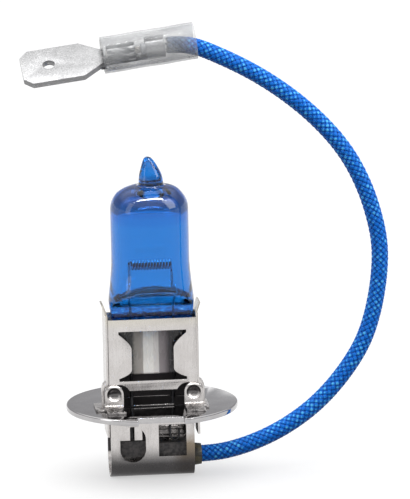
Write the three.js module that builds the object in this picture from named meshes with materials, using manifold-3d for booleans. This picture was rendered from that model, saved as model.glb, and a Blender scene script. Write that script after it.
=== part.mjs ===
// Halogen headlight bulb with a 22 mm flange, a transverse filament and a braided lead.
// Millimetres, +Z along the lamp axis towards the tip of the glass, +X towards the lead's exit.
// The origin is the centre of the flange's upper face, from which the light centre is measured.
import * as THREE from 'three';
import { mergeVertices } from 'three/addons/utils/BufferGeometryUtils.js';
import Module from 'manifold-3d';

const wasm = await Module();
wasm.setup();

// Flange and light centre
const flangeRadius = 11;
const flangeThickness = 0.76;
const flangeChamfer = 0.12;
const notchWidth = 5.9;
const notchDepth = 1.8;
const notchX = 0.25;
const lightCentre = 18;

// Glass
const glassX = 0.18;
const glassRadius = 5;
const glassWall = 1;
const shoulderHeight = 25.3;
const domeHeight = 28.25;
const tipHeight = 32.05;
const tipRadius = 1.6;
const tipShift = 0.3;
const tipLean = 0.42;
const pinchTop = 12.9;
const pinchSlope = 1.5;
const pinchBottom = 4;
const pinchHalfWidth = 5.2;
const pinchHalfDepth = 1.5;

// Filament, foils and leads
const coilLength = 5;
const coilRadius = 0.58;
const coilTurns = 13;
const coilWire = 0.12;
const legX = 2.75;
const legRadius = 0.18;
const leadRadius = 0.25;
const foilTop = 10.9;
const foilBottom = 5.9;

// Sheet metal bracket
const sheet = 0.3;
const bracketX = 0;
const boxHalfDepth = 2.6;
const plateHalfWidth = 5.65;
const wallOuter = 5.95;
const wallInner = wallOuter - sheet;
const lugX = 5.1;
const lugFace = 3.2;
const lugReach = 6.8;
const stripX = -0.22;
const stripHalfWidth = 5.38;
const tongueHalfWidth = 2.6;
const clampTop = 11.4;
const clampBottom = 2.1;
const wallTop = 11.9;
const wallBottom = -4;
const stripTop = 0.18;
const stripBottom = -9.6;
const seatGap = 0.03;

// Lead and terminal
const cordRadius = 1.1;
const cordExitZ = -7.1;
const conductorRadius = 0.5;
const sleeveLength = 12;
const sleeveRadius = 2.35;
const sleeveWall = 0.25;
const bladeLength = 10.4;
const bladeHalfWidth = 3.15;
const bladeThickness = 0.8;
const terminalStart = new THREE.Vector3(-5.39, 0, 45.36);
const terminalTilt = 7.2;
const terminalTwist = 30;

const looks = {
  blueGlass: { color: 0x2f7fe0, roughness: 0.05, metalness: 0 },
  tungsten: { color: 0x6f7276, roughness: 0.45, metalness: 0.9 },
  molybdenum: { color: 0x55585c, roughness: 0.4, metalness: 0.9 },
  nickel: { color: 0xc4c3c0, roughness: 0.3, metalness: 1 },
  stainless: { color: 0xa3a3a5, roughness: 0.35, metalness: 1 },
  tinned: { color: 0xcfcfcd, roughness: 0.3, metalness: 1 },
  darkCeramic: { color: 0x2d2b2c, roughness: 0.8, metalness: 0 },
  oliveSleeving: { color: 0x4a4328, roughness: 0.7, metalness: 0 },
  blueBraid: { color: 0x1668c8, roughness: 0.6, metalness: 0 },
  innerInsulation: { color: 0xb9bcc0, roughness: 0.5, metalness: 0 },
  clearSleeve: { color: 0xd9dcdd, roughness: 0.25, metalness: 0 },
};

const lamp = new THREE.Group();

function addPart(name, geometry, look, parent = lamp) {
  const mesh = new THREE.Mesh(geometry, new THREE.MeshStandardMaterial(looks[look]));
  mesh.name = name;
  parent.add(mesh);
  return mesh;
}

// A closed geometry with shared vertices, ready for a boolean.
function solid(geometry) {
  const bare = geometry.index ? geometry.toNonIndexed() : geometry.clone();
  bare.deleteAttribute('normal');
  bare.deleteAttribute('uv');
  const merged = mergeVertices(bare, 1e-4);
  const corners = merged.index.array;
  const triangles = [];
  for (let i = 0; i < corners.length; i += 3) {
    const [a, b, c] = [corners[i], corners[i + 1], corners[i + 2]];
    if (a !== b && b !== c && c !== a) triangles.push(a, b, c);
  }
  return new wasm.Manifold(new wasm.Mesh({
    numProp: 3,
    vertProperties: new Float32Array(merged.attributes.position.array),
    triVerts: new Uint32Array(triangles),
  }));
}

function surface(body) {
  const mesh = body.getMesh();
  const geometry = new THREE.BufferGeometry();
  geometry.setAttribute('position', new THREE.BufferAttribute(mesh.vertProperties, 3));
  geometry.setIndex(new THREE.BufferAttribute(mesh.triVerts, 1));
  return geometry;
}

function cut(body, tools) {
  return tools.reduce((left, tool) => left.subtract(tool), body);
}

function join(bodies) {
  return bodies.reduce((left, body) => left.add(body));
}

// A block given by its low and high corners.
function block(low, high) {
  const size = high.map((value, i) => value - low[i]);
  const centre = high.map((value, i) => (value + low[i]) / 2);
  return solid(new THREE.BoxGeometry(...size).translate(...centre));
}

// A round bar whose axis runs along Z, X or Y.
function bar(radius, length, axis, centre, sides = 16) {
  const geometry = new THREE.CylinderGeometry(radius, radius, length, sides);
  if (axis === 'x') geometry.rotateZ(Math.PI / 2);
  if (axis === 'z') geometry.rotateX(Math.PI / 2);
  return solid(geometry.translate(...centre));
}

// A front view outline, drawn in X and Z, standing between two depths.
function frontPlate(shape, nearY, farY, segments = 8) {
  const settings = { depth: farY - nearY, bevelEnabled: false, curveSegments: segments };
  const geometry = new THREE.ExtrudeGeometry(shape, settings);
  return solid(geometry.rotateX(Math.PI / 2).translate(0, farY, 0));
}

// A side view outline, drawn in Y and Z, running between two widths.
function sideProfile(shape, lowX, highX, segments = 8) {
  const settings = { depth: highX - lowX, bevelEnabled: false, curveSegments: segments };
  const geometry = new THREE.ExtrudeGeometry(shape, settings);
  const axes = [[0, 1, 0], [0, 0, 1], [1, 0, 0]].map((axis) => new THREE.Vector3(...axis));
  geometry.applyMatrix4(new THREE.Matrix4().makeBasis(...axes));
  return solid(geometry.translate(lowX, 0, 0));
}

function rectangle(lowX, lowZ, highX, highZ) {
  const corners = [[lowX, lowZ], [highX, lowZ], [highX, highZ], [lowX, highZ]];
  return new THREE.Shape(corners.map((corner) => new THREE.Vector2(...corner)));
}

// A rod of round section along a smooth curve through its points.
function rod(points, radius, steps, sides = 8) {
  const curve = new THREE.CatmullRomCurve3(points.map((point) => new THREE.Vector3(...point)));
  return rodAlong(curve, radius, steps, sides);
}

function rodAlong(curve, radius, steps, sides) {
  const section = new THREE.Shape();
  for (let i = 0; i < sides; i += 1) {
    const turn = (2 * Math.PI * i) / sides;
    const corner = [radius * Math.cos(turn), radius * Math.sin(turn)];
    if (i === 0) section.moveTo(...corner);
    else section.lineTo(...corner);
  }
  return new THREE.ExtrudeGeometry(section, { steps, bevelEnabled: false, extrudePath: curve });
}

// A turned body about Z from a profile of [radius, height] pairs that starts and ends on the axis.
function turned(profile, segments) {
  const points = profile.map(([radius, height]) => new THREE.Vector2(radius, height));
  return new THREE.LatheGeometry(points, segments).rotateX(Math.PI / 2);
}

function circleArc(centreR, centreZ, radius, fromDegrees, toDegrees, steps) {
  return Array.from({ length: steps + 1 }, (_, i) => {
    const angle = THREE.MathUtils.degToRad(fromDegrees + ((toDegrees - fromDegrees) * i) / steps);
    return [centreR + radius * Math.cos(angle), centreZ + radius * Math.sin(angle)];
  });
}

// The envelope's outside: turned, then pressed flat between two jaws below the bulb.
function envelopeOutside() {
  const domeRadius = domeHeight - shoulderHeight;
  const profile = [
    [0, pinchBottom],
    [4.9, pinchBottom],
    [5.2, pinchBottom + 0.25],
    [pinchHalfWidth, 8],
    [pinchHalfWidth, 11],
    [5.3, 12],
    [5.42, 12.8],
    [5.45, 13.6],
    [5.35, 14.6],
    [5.15, 15.8],
    [5, 17.2],
    [glassRadius, 19],
    [glassRadius, 22],
    ...circleArc(glassRadius - domeRadius, shoulderHeight, domeRadius, 0, 90, 8),
    [tipRadius, domeHeight + 0.15],
    [tipRadius - 0.1, domeHeight + 0.4],
    [tipRadius - 0.02, domeHeight + 0.8],
    [1.4, domeHeight + 1.6],
    [1.02, domeHeight + 2.6],
    [0.62, tipHeight - 0.45],
    [0.3, tipHeight - 0.1],
    [0, tipHeight],
  ];
  const geometry = turned(profile, 48);
  const places = geometry.attributes.position;
  for (let i = 0; i < places.count; i += 1) {
    const z = places.getZ(i);
    const halfDepth = pinchHalfDepth + Math.max(0, z - pinchTop) * pinchSlope;
    places.setY(i, THREE.MathUtils.clamp(places.getY(i), -halfDepth, halfDepth));
    const onDome = THREE.MathUtils.smoothstep(z, domeHeight - 1, domeHeight + 0.2);
    const lean = Math.max(0, (z - domeHeight) / (tipHeight - domeHeight));
    places.setX(i, places.getX(i) + glassX + tipShift * onDome - tipLean * lean * lean);
  }
  return solid(geometry);
}

function envelopeInside() {
  const radius = glassRadius - glassWall;
  const floor = 14.6;
  const profile = [
    [0, floor],
    [2.6, floor + 0.2],
    [3.6, floor + 0.9],
    [radius, floor + 2.2],
    [radius, shoulderHeight - 0.9],
    ...circleArc(radius - 2.3, shoulderHeight - 0.7, 2.3, 0, 75, 5),
    [0, domeHeight - 1.2],
  ];
  return solid(turned(profile, 28).translate(glassX, 0, 0));
}

// Each lead's way through the seal: a round hole, a flat slot for the foil, a round hole.
function leadChannel(x) {
  return join([
    bar(0.32, 5.6, 'z', [x, 0, 13.4], 12),
    block([x - 1.05, -0.2, foilBottom - 0.3], [x + 1.05, 0.2, foilTop + 0.3]),
    bar(0.4, 3.2, 'z', [x, 0, 4.6], 12),
  ]);
}

function addGlass() {
  const recess = block([-0.72, -3, pinchBottom - 1], [1.08, -pinchHalfDepth + 0.35, 10.6]);
  const tools = [envelopeInside(), leadChannel(glassX - legX), leadChannel(glassX + legX), recess];
  addPart('glass_envelope', surface(cut(envelopeOutside(), tools)), 'blueGlass');
}

function addFilament() {
  class Coil extends THREE.Curve {
    getPoint(t, target = new THREE.Vector3()) {
      const turn = 2 * Math.PI * coilTurns * t;
      const along = glassX + (t - 0.5) * coilLength;
      const [deep, high] = [coilRadius * Math.sin(turn), coilRadius * Math.cos(turn)];
      return target.set(along, deep, lightCentre + high);
    }
  }
  addPart('filament_coil', rodAlong(new Coil(), coilWire, coilTurns * 12, 5), 'tungsten');
  for (const [side, sign] of [['left', -1], ['right', 1]]) {
    const [low, high] = [foilTop + 0.1, lightCentre + 0.1];
    const x = glassX + sign * legX;
    const leg = bar(legRadius, high - low, 'z', [x, 0, (high + low) / 2], 10);
    addPart(`filament_leg_${side}`, surface(leg), 'tungsten');
    const foil = block([x - 0.85, -0.04, foilBottom], [x + 0.85, 0.04, foilTop]);
    addPart(`seal_foil_${side}`, surface(foil), 'molybdenum');
  }
}

function addOuterLeads() {
  const start = foilBottom - 0.1;
  const groundRoute = [
    [glassX - legX, 0, start],
    [glassX - legX, 0, 3.4],
    [-2.6, -0.3, 1.6],
    [-2.75, -1.1, -0.6],
    [-2.8, -1.45, -2.4],
    [-2.8, -1.45, -4.5],
  ];
  const liveRoute = [
    [glassX + legX, 0, start],
    [glassX + legX, 0, 3.4],
    [2.8, -0.1, 1.6],
    [2.5, -0.9, -0.6],
    [2.2, -1.8, -2.2],
    [2.05, -2, -3.3],
    [2.25, -2, -4.4],
    [2.75, -2, -4.65],
    [3.2, -2, -4.2],
    [3.2, -2, -3.2],
  ];
  addPart('outer_lead_ground', rod(groundRoute, leadRadius, 22), 'molybdenum');
  addPart('outer_lead_live', rod(liveRoute, leadRadius, 34), 'molybdenum');
}

function addFlange() {
  const bottom = -flangeThickness;
  const profile = [
    [0, bottom],
    [flangeRadius - flangeChamfer, bottom],
    [flangeRadius, bottom + flangeChamfer],
    [flangeRadius, -flangeChamfer],
    [flangeRadius - flangeChamfer, 0],
    [0, 0],
  ];
  const reach = flangeRadius + 1;
  const notchFloor = -flangeRadius + notchDepth;
  const [notchLow, notchHigh] = [notchX - notchWidth / 2, notchX + notchWidth / 2];
  const notch = block([notchLow, -reach, -1], [notchHigh, notchFloor, 1]);
  const clearance = 0.3;
  const apertureX = wallOuter + clearance;
  const apertureY = boxHalfDepth + clearance;
  const low = [bracketX - apertureX, -apertureY, -1];
  const aperture = block(low, [bracketX + apertureX, apertureY, 1]);
  const disc = cut(solid(turned(profile, 96)), [notch, aperture]);
  addPart('reference_flange', surface(disc), 'stainless');
}

// A round-topped lug with a pressed dimple, bent forward into a pad on the flange.
function plateLug(x) {
  const halfWidth = 1.2;
  const archZ = 1.8;
  const padTop = seatGap + sheet;
  const back = -lugFace + sheet;
  const side = new THREE.Shape();
  side.moveTo(-boxHalfDepth + sheet, 3);
  side.lineTo(-boxHalfDepth, 3);
  side.quadraticCurveTo(-lugFace, 2.95, -lugFace, 2.3);
  side.lineTo(-lugFace, padTop + 0.25);
  side.quadraticCurveTo(-lugFace, padTop, -lugFace - 0.25, padTop);
  side.lineTo(-lugReach, padTop);
  side.lineTo(-lugReach, seatGap);
  side.lineTo(back - 0.35, seatGap);
  side.quadraticCurveTo(back, seatGap, back, padTop + 0.1);
  side.lineTo(back, 2.2);
  side.quadraticCurveTo(back, 2.5, -boxHalfDepth + sheet, 2.5);
  const face = new THREE.Shape();
  face.moveTo(x - halfWidth, 0);
  face.lineTo(x + halfWidth, 0);
  face.lineTo(x + halfWidth, archZ);
  face.absarc(x, archZ, halfWidth, 0, Math.PI, false);
  const tongue = sideProfile(side, x - halfWidth, x + halfWidth, 6);
  const lug = tongue.intersect(frontPlate(face, -lugReach - 1, -2, 10));
  const [ballY, dimple] = [-lugFace - 0.6, 1.1];
  const ball = (radius) => solid(new THREE.SphereGeometry(radius, 20, 12).translate(x, ballY, archZ));
  const behind = block([x - halfWidth, back - 0.05, archZ - halfWidth], [x + halfWidth, -1.5, 3]);
  return join([lug, ball(dimple + 0.25).intersect(behind)]).subtract(ball(dimple));
}

// The plate between the lugs is cut away round each of them.
function lugClearance(x, sign) {
  return bar(1.5, 2 * sheet, 'y', [x - sign * 0.7, -boxHalfDepth + sheet / 2, 1.45], 24);
}

function hourglass() {
  const [wide, waist] = [4.35, 2.7];
  const [top, upperWaist, lowerWaist, bottom] = [9.85, 7.5, 4.9, 3.35];
  const outline = new THREE.Path();
  outline.moveTo(-wide, top);
  outline.lineTo(-wide, top - 0.35);
  outline.quadraticCurveTo(-waist, upperWaist + 0.7, -waist, upperWaist);
  outline.lineTo(-waist, lowerWaist);
  outline.quadraticCurveTo(-waist, bottom + 0.9, -wide, bottom + 0.35);
  outline.lineTo(-wide, bottom);
  outline.lineTo(wide, bottom);
  outline.lineTo(wide, bottom + 0.35);
  outline.quadraticCurveTo(waist, bottom + 0.9, waist, lowerWaist);
  outline.lineTo(waist, upperWaist);
  outline.quadraticCurveTo(waist, upperWaist + 0.7, wide, top - 0.35);
  outline.lineTo(wide, top);
  return outline;
}

function addClampFront() {
  const outline = rectangle(-plateHalfWidth, clampBottom, plateHalfWidth, clampTop);
  outline.holes.push(hourglass());
  const plate = frontPlate(outline, -boxHalfDepth, -boxHalfDepth + sheet);
  const sides = [-1, 1];
  const opened = cut(plate, sides.map((sign) => lugClearance(sign * lugX, sign)));
  const front = join([opened, ...sides.map((sign) => plateLug(sign * lugX))]);
  addPart('clamp_front_plate', surface(front.translate([bracketX, 0, 0])), 'nickel');
}

// A foot that curls out of a side wall, with a pad that runs forward on the flange.
function wallFoot(sign) {
  const tabX = 6.3;
  const padX = sign > 0 ? 6.9 : 7.6;
  const [padNear, tabNear, tabFar] = [-5, -2.2, -1];
  const face = new THREE.Shape();
  face.moveTo(wallInner, 2.5);
  face.quadraticCurveTo(tabX, 2.8, tabX, 2);
  face.lineTo(tabX, seatGap);
  face.lineTo(tabX + sheet, seatGap);
  face.lineTo(tabX + sheet, 2);
  face.quadraticCurveTo(tabX + sheet, 3.4, wallInner, 3.2);
  const tab = frontPlate(face, tabNear, tabFar);
  const pad = block([tabX, padNear, seatGap], [padX, tabFar, seatGap + sheet]);
  const foot = join([tab, pad]);
  return sign > 0 ? foot : foot.mirror([1, 0, 0]);
}

// The ears that steer the glass down between the side walls.
function ear(sign) {
  const face = new THREE.Shape();
  face.moveTo(wallInner, wallTop - 0.6);
  face.lineTo(wallOuter, wallTop - 0.6);
  face.lineTo(wallOuter, wallTop);
  face.lineTo(6.35, wallTop + 1.2);
  face.lineTo(6.12, wallTop + 1.3);
  face.lineTo(wallInner, wallTop);
  const tongue = frontPlate(face, -1.5, 1.5);
  return sign > 0 ? tongue : tongue.mirror([1, 0, 0]);
}

function addClampChannel() {
  const [near, far] = [-boxHalfDepth + sheet + 0.1, boxHalfDepth];
  const back = block([-wallOuter, far - sheet, stripTop + 0.05], [wallOuter, far, clampTop]);
  const pieces = [back];
  for (const sign of [-1, 1]) {
    const [low, high] = sign > 0 ? [wallInner, wallOuter] : [-wallOuter, -wallInner];
    pieces.push(block([low, near, wallBottom], [high, far, wallTop]));
    pieces.push(wallFoot(sign));
    pieces.push(ear(sign));
  }
  const lugs = [-3.6, 3.6].map((x) => plateLug(x).mirror([0, 1, 0]));
  const channel = join([...pieces, ...lugs]).translate([bracketX, 0, 0]);
  addPart('clamp_channel', surface(channel), 'nickel');
}

function stadium(centreX, lowZ, highZ, radius) {
  const outline = new THREE.Shape();
  outline.moveTo(centreX - radius, highZ - radius);
  outline.lineTo(centreX - radius, lowZ + radius);
  outline.absarc(centreX, lowZ + radius, radius, Math.PI, 2 * Math.PI, false);
  outline.lineTo(centreX + radius, highZ - radius);
  outline.absarc(centreX, highZ - radius, radius, 0, Math.PI, false);
  return outline;
}

// The lower strip is one U-bent sheet with a window to each joint inside it.
function addBaseStrip() {
  const bendZ = stripBottom + boxHalfDepth;
  const inner = boxHalfDepth - sheet;
  const side = new THREE.Shape();
  side.moveTo(-boxHalfDepth, stripTop);
  side.lineTo(-boxHalfDepth, bendZ);
  side.absarc(0, bendZ, boxHalfDepth, Math.PI, 2 * Math.PI, false);
  side.lineTo(boxHalfDepth, stripTop);
  side.lineTo(inner, stripTop);
  side.lineTo(inner, bendZ);
  side.absarc(0, bendZ, inner, 0, -Math.PI, true);
  side.lineTo(-inner, stripTop);
  const [low, high] = [stripX - stripHalfWidth, stripX + stripHalfWidth];
  const strip = sideProfile(side, low, high, 14);
  const groundWindow = frontPlate(stadium(-2.77, -7.3, -2.65, 1.65), -3, -1, 10);
  const liveWindow = block([0.55, -3, -6.65], [4.1, -1.5, -2.5]);
  const shoulders = [-1, 1].map((sign) => {
    const [inside, outside] = [sign * tongueHalfWidth, sign * 7];
    const [left, right] = [Math.min(inside, outside), Math.max(inside, outside)];
    return block([left, -3, stripTop - 0.2], [right, 3, 1]);
  });
  addPart('base_strip', surface(cut(strip, [groundWindow, liveWindow, ...shoulders])), 'nickel');
}

function addContacts() {
  const tab = block([-4.75, -2.1, -4.55], [-1.5, -1.8, -1.6]);
  const slit = block([-3.08, -3, -5], [-2.52, -1, -2.7]);
  addPart('ground_tab', surface(cut(tab, [slit])), 'nickel');

  const [low, high] = [0.3, 4.2];
  const middle = (low + high) / 2;
  const clip = join([
    bar(0.36, high - low, 'x', [middle, -1.05, -3.15], 12),
    bar(0.3, high - low, 'x', [middle, -1.05, -4.35], 12),
    block([low, -1.05, -4.5], [high, -0.75, -3]),
  ]);
  addPart('splice_clip', surface(clip), 'nickel');
}

const tailRoute = [
  [3.3, 0, cordExitZ],
  [2.8, 0, cordExitZ],
  [2.3, 0, -6.7],
  [2.2, 0, -5.8],
  [2.2, 0, -4.6],
  [2.2, 0, -3.4],
];

// A dark insulating body fills the strip; the lead enters it from the side and turns upwards.
function addInsulator() {
  const halfDepth = 1.9;
  const body = join([
    block([-4.7, -halfDepth, -6.8], [0.4, halfDepth, -4.7]),
    block([0.2, -halfDepth, -8.2], [4.6, halfDepth, -5.05]),
  ]);
  const seat = bar(1.6, 2.1, 'x', [4, 0, cordExitZ], 20);
  const passage = solid(rod(tailRoute, conductorRadius + 0.15, 14));
  addPart('insulator_block', surface(cut(body, [seat, passage])), 'darkCeramic');
}

function addExitBushing() {
  const [inner, outer] = [cordRadius + 0.15, 1.45];
  const [start, end] = [3.1, 6.2];
  const profile = [
    [inner, start],
    [outer, start],
    [outer, end - 0.9],
    [outer - 0.12, end],
    [inner, end],
    [inner, start],
  ];
  const bushing = turned(profile, 20).rotateY(Math.PI / 2).translate(0, 0, cordExitZ);
  addPart('exit_bushing', surface(solid(bushing)), 'oliveSleeving');
}

// The lead's own arc, from inside the bushing round to the braid's cut end in the clear sleeve.
const leadRoute = [
  [3.6, 0, -7.1],
  [6.2, 0, -7.1],
  [9.5, 0, -6.8],
  [13.4, 0, -5.7],
  [17.4, 0, -3.8],
  [21.4, 0, -0.9],
  [25.1, 0, 3.2],
  [27.6, 0, 7.4],
  [29.2, 0, 13],
  [29.7, 0, 19.1],
  [28.7, 0, 24.5],
  [26.9, 0, 29.2],
  [24.8, 0, 32.7],
  [21.8, 0, 36.2],
  [18.1, 0, 39.5],
  [14.1, 0, 42.3],
  [10.1, 0, 44.5],
  [6.7, 0, 46],
  [4.8, 0, 46.38],
  [2.95, 0, 46.42],
];

function addLead() {
  addPart('lead_strands_base', rod(tailRoute, conductorRadius, 12), 'tinned');
  addPart('braided_lead', rod(leadRoute, cordRadius, 44), 'blueBraid');
}

// An open crimp barrel: a ring about X with a slit along its top.
function barrel(inner, outer, lowX, highX) {
  const slit = THREE.MathUtils.degToRad(14);
  const ring = new THREE.Shape();
  ring.absarc(0, 0, outer, Math.PI / 2 + slit, 2.5 * Math.PI - slit, false);
  ring.absarc(0, 0, inner, 2.5 * Math.PI - slit, Math.PI / 2 + slit, true);
  return sideProfile(ring, lowX, highX, 20);
}

// The 6.3 mm male blade, its tapered neck, and the two crimp barrels on one floor strip.
function terminalBody() {
  const middle = -0.45;
  const [low, high] = [middle - bladeThickness / 2, middle + bladeThickness / 2];
  const chamfer = 1.1;
  const [shoulder, neck, neckHalf] = [-2.7, -0.2, 1.4];
  const outline = new THREE.Shape();
  outline.moveTo(-bladeLength, -bladeHalfWidth + chamfer);
  outline.lineTo(-bladeLength + chamfer, -bladeHalfWidth);
  outline.lineTo(shoulder, -bladeHalfWidth);
  outline.lineTo(neck, -neckHalf);
  outline.lineTo(neck + 0.5, -neckHalf);
  outline.lineTo(neck + 0.5, neckHalf);
  outline.lineTo(neck, neckHalf);
  outline.lineTo(shoulder, bladeHalfWidth);
  outline.lineTo(-bladeLength + chamfer, bladeHalfWidth);
  outline.lineTo(-bladeLength, bladeHalfWidth - chamfer);
  const settings = { depth: bladeThickness, bevelEnabled: false };
  const blade = solid(new THREE.ExtrudeGeometry(outline, settings).translate(0, 0, low));
  const hole = bar(0.8, 2, 'z', [-bladeLength + 3.5, 0, middle], 20);
  const floor = block([-0.4, -0.8, -1.15], [8, 0.8, -0.8]);
  const neckBlock = block([-0.4, -neckHalf, -1.15], [0.3, neckHalf, high]);
  return join([
    cut(blade, [hole]),
    neckBlock,
    floor,
    barrel(0.72, 1.15, 0.6, 4.2),
    barrel(1.05, 1.45, 5.6, 8),
  ]);
}

function addTerminal() {
  const tilted = new THREE.Group();
  tilted.position.copy(terminalStart);
  tilted.rotation.y = -THREE.MathUtils.degToRad(terminalTilt);
  lamp.add(tilted);
  const twisted = new THREE.Group();
  twisted.rotation.x = THREE.MathUtils.degToRad(terminalTwist);
  tilted.add(twisted);
  addPart('spade_terminal', surface(terminalBody()), 'tinned', twisted);
  const strands = bar(conductorRadius, 4.4, 'x', [2.7, 0, 0], 10);
  addPart('lead_strands_terminal', surface(strands), 'tinned', twisted);
  const insulation = bar(0.72, 3.1, 'x', [6.55, 0, 0], 12);
  addPart('lead_inner_insulation', surface(insulation), 'innerInsulation', twisted);
  const inner = sleeveRadius - sleeveWall;
  const profile = [
    [inner, 0],
    [sleeveRadius, 0],
    [sleeveRadius, sleeveLength],
    [inner, sleeveLength],
    [inner, 0],
  ];
  const sleeve = turned(profile, 28).rotateY(Math.PI / 2);
  addPart('terminal_sleeve', surface(solid(sleeve)), 'clearSleeve', twisted);
}

addGlass();
addFilament();
addOuterLeads();
addFlange();
addClampFront();
addClampChannel();
addBaseStrip();
addContacts();
addInsulator();
addExitBushing();
addLead();
addTerminal();

export default lamp;
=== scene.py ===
import math
from random import Random

import bpy
from mathutils import Matrix, Vector


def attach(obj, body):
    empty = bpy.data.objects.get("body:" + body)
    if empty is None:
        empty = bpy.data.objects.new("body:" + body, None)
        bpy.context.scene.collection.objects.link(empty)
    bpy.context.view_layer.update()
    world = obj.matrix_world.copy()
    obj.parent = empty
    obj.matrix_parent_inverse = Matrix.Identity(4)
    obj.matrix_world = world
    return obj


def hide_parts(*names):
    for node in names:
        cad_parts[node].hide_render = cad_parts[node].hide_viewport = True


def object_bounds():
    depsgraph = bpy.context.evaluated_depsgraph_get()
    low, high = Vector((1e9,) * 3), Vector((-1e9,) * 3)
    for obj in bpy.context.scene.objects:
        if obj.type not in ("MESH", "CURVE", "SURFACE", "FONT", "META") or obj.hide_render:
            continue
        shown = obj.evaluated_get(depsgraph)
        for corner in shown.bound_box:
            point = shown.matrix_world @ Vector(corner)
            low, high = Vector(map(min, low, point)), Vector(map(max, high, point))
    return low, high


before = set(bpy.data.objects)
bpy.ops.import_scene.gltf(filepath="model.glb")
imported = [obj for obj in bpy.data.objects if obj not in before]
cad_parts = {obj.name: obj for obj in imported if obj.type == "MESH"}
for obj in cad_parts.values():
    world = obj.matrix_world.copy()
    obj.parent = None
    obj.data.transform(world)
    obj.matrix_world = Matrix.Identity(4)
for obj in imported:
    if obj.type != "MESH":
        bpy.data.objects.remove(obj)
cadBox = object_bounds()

mm = 0.001
root = "root"


# the view from the front, a little above the flange
cameraSettings = {
    "turn": -5.5,           # degrees round the lamp, towards the ground lead's side
    "height": 12.0,         # degrees above the flange
    "roll": 1.17,           # the lamp leans this much to the left
    "lens": 600.0,
    "frameHeight": 64.0,    # mm seen from top to bottom
    "across": 7.2,          # mm from the flange's centre to the middle of the view
    "up": 19.35,
}


def makeCamera(settings):
    turn, height = math.radians(settings["turn"]), math.radians(settings["height"])
    towards = Vector((
        math.sin(turn) * math.cos(height),
        -math.cos(turn) * math.cos(height),
        math.sin(height),
    ))
    right = Vector((math.cos(turn), math.sin(turn), 0))
    up = towards.cross(right)
    target = (right * settings["across"] + up * settings["up"]) * mm
    data = bpy.data.cameras.new("camera")
    data.lens = settings["lens"]
    data.clip_start = 0.01
    data.clip_end = 50
    distance = settings["frameHeight"] * mm * data.lens / data.sensor_width
    camera = bpy.data.objects.new("camera", data)
    bpy.context.scene.collection.objects.link(camera)
    rotation = Matrix((right, up, towards)).transposed().to_4x4()
    roll = Matrix.Rotation(math.radians(-settings["roll"]), 4, "Z")
    camera.matrix_world = Matrix.Translation(target + towards * distance) @ rotation @ roll
    bpy.context.scene.camera = camera


makeCamera(cameraSettings)
bpy.context.scene.view_settings.view_transform = "Standard"
print("camera made")


class Value:
    # one output of a node, with the arithmetic that the materials use

    def __init__(self, sheet, socket):
        self.sheet = sheet
        self.socket = socket

    def maths(self, operation, first, second):
        return self.sheet.node("ShaderNodeMath", {"operation": operation}, {0: first, 1: second})

    def __add__(self, other):
        return self.maths("ADD", self, other)

    def __radd__(self, other):
        return self.maths("ADD", other, self)

    def __sub__(self, other):
        return self.maths("SUBTRACT", self, other)

    def __rsub__(self, other):
        return self.maths("SUBTRACT", other, self)

    def __mul__(self, other):
        return self.maths("MULTIPLY", self, other)

    def __rmul__(self, other):
        return self.maths("MULTIPLY", other, self)


class Finish:
    # one material: its nodes, and the few that most of the finishes share

    def __init__(self, name, kind="materials"):
        self.material = getattr(bpy.data, kind).new(name)
        self.material.use_nodes = True
        self.tree = self.material.node_tree
        self.tree.nodes.clear()

    def node(self, kind, settings=None, sockets=None, output=0):
        made = self.tree.nodes.new(kind)
        for name, value in (settings or {}).items():
            if name == "stops":
                self.setStops(made.color_ramp, value)
            else:
                setattr(made, name, value)
        for name, value in (sockets or {}).items():
            if isinstance(value, Value):
                self.tree.links.new(value.socket, made.inputs[name])
            else:
                made.inputs[name].default_value = value
        return Value(self, made.outputs[output]) if made.outputs else None

    def setStops(self, ramp, stops):
        while len(ramp.elements) > len(stops):
            ramp.elements.remove(ramp.elements[-1])
        while len(ramp.elements) < len(stops):
            ramp.elements.new(1)
        for element, (place, colour) in zip(ramp.elements, stops):
            element.position = place
            element.color = (*colour, 1)

    def place(self, stretch=(1, 1, 1), turn=(0, 0, 0)):
        spot = self.node("ShaderNodeTexCoord", output="Object")
        return self.node("ShaderNodeMapping", {}, {"Vector": spot, "Scale": stretch, "Rotation": turn})

    def noise(self, size, stretch=(1, 1, 1), detail=3.0, turn=(0, 0, 0)):
        # size is the width of one blotch, in mm
        sockets = {"Vector": self.place(stretch, turn), "Scale": 1 / (size * mm), "Detail": detail}
        return self.node("ShaderNodeTexNoise", {}, sockets)

    def along(self, axis):
        # the place along one axis, in mm
        spot = self.node("ShaderNodeTexCoord", output="Object")
        return self.node("ShaderNodeSeparateXYZ", {}, {"Vector": spot}, output=axis) * (1 / mm)

    def step(self, value, low, high, start=0.0, end=1.0):
        # eases from start to end while value goes from low to high
        sockets = {"Value": value, "From Min": low, "From Max": high, "To Min": start, "To Max": end}
        return self.node("ShaderNodeMapRange", {"interpolation_type": "SMOOTHSTEP"}, sockets)

    def mix(self, factor, first, second):
        first, second = [c if isinstance(c, Value) else (*c, 1) for c in (first, second)]
        return self.node("ShaderNodeMix", {"data_type": "RGBA"}, {0: factor, 6: first, 7: second}, output=2)

    def size(self, value):
        return self.node("ShaderNodeMath", {"operation": "ABSOLUTE"}, {0: value})

    def bump(self, height, strength, depth):
        # depth is in mm
        sockets = {"Height": height, "Strength": strength, "Distance": depth * mm}
        return self.node("ShaderNodeBump", {}, sockets)

    def done(self, sockets):
        shader = self.node("ShaderNodeBsdfPrincipled", {}, sockets)
        self.node("ShaderNodeOutputMaterial", {}, {"Surface": shader})
        return self.material


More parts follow.
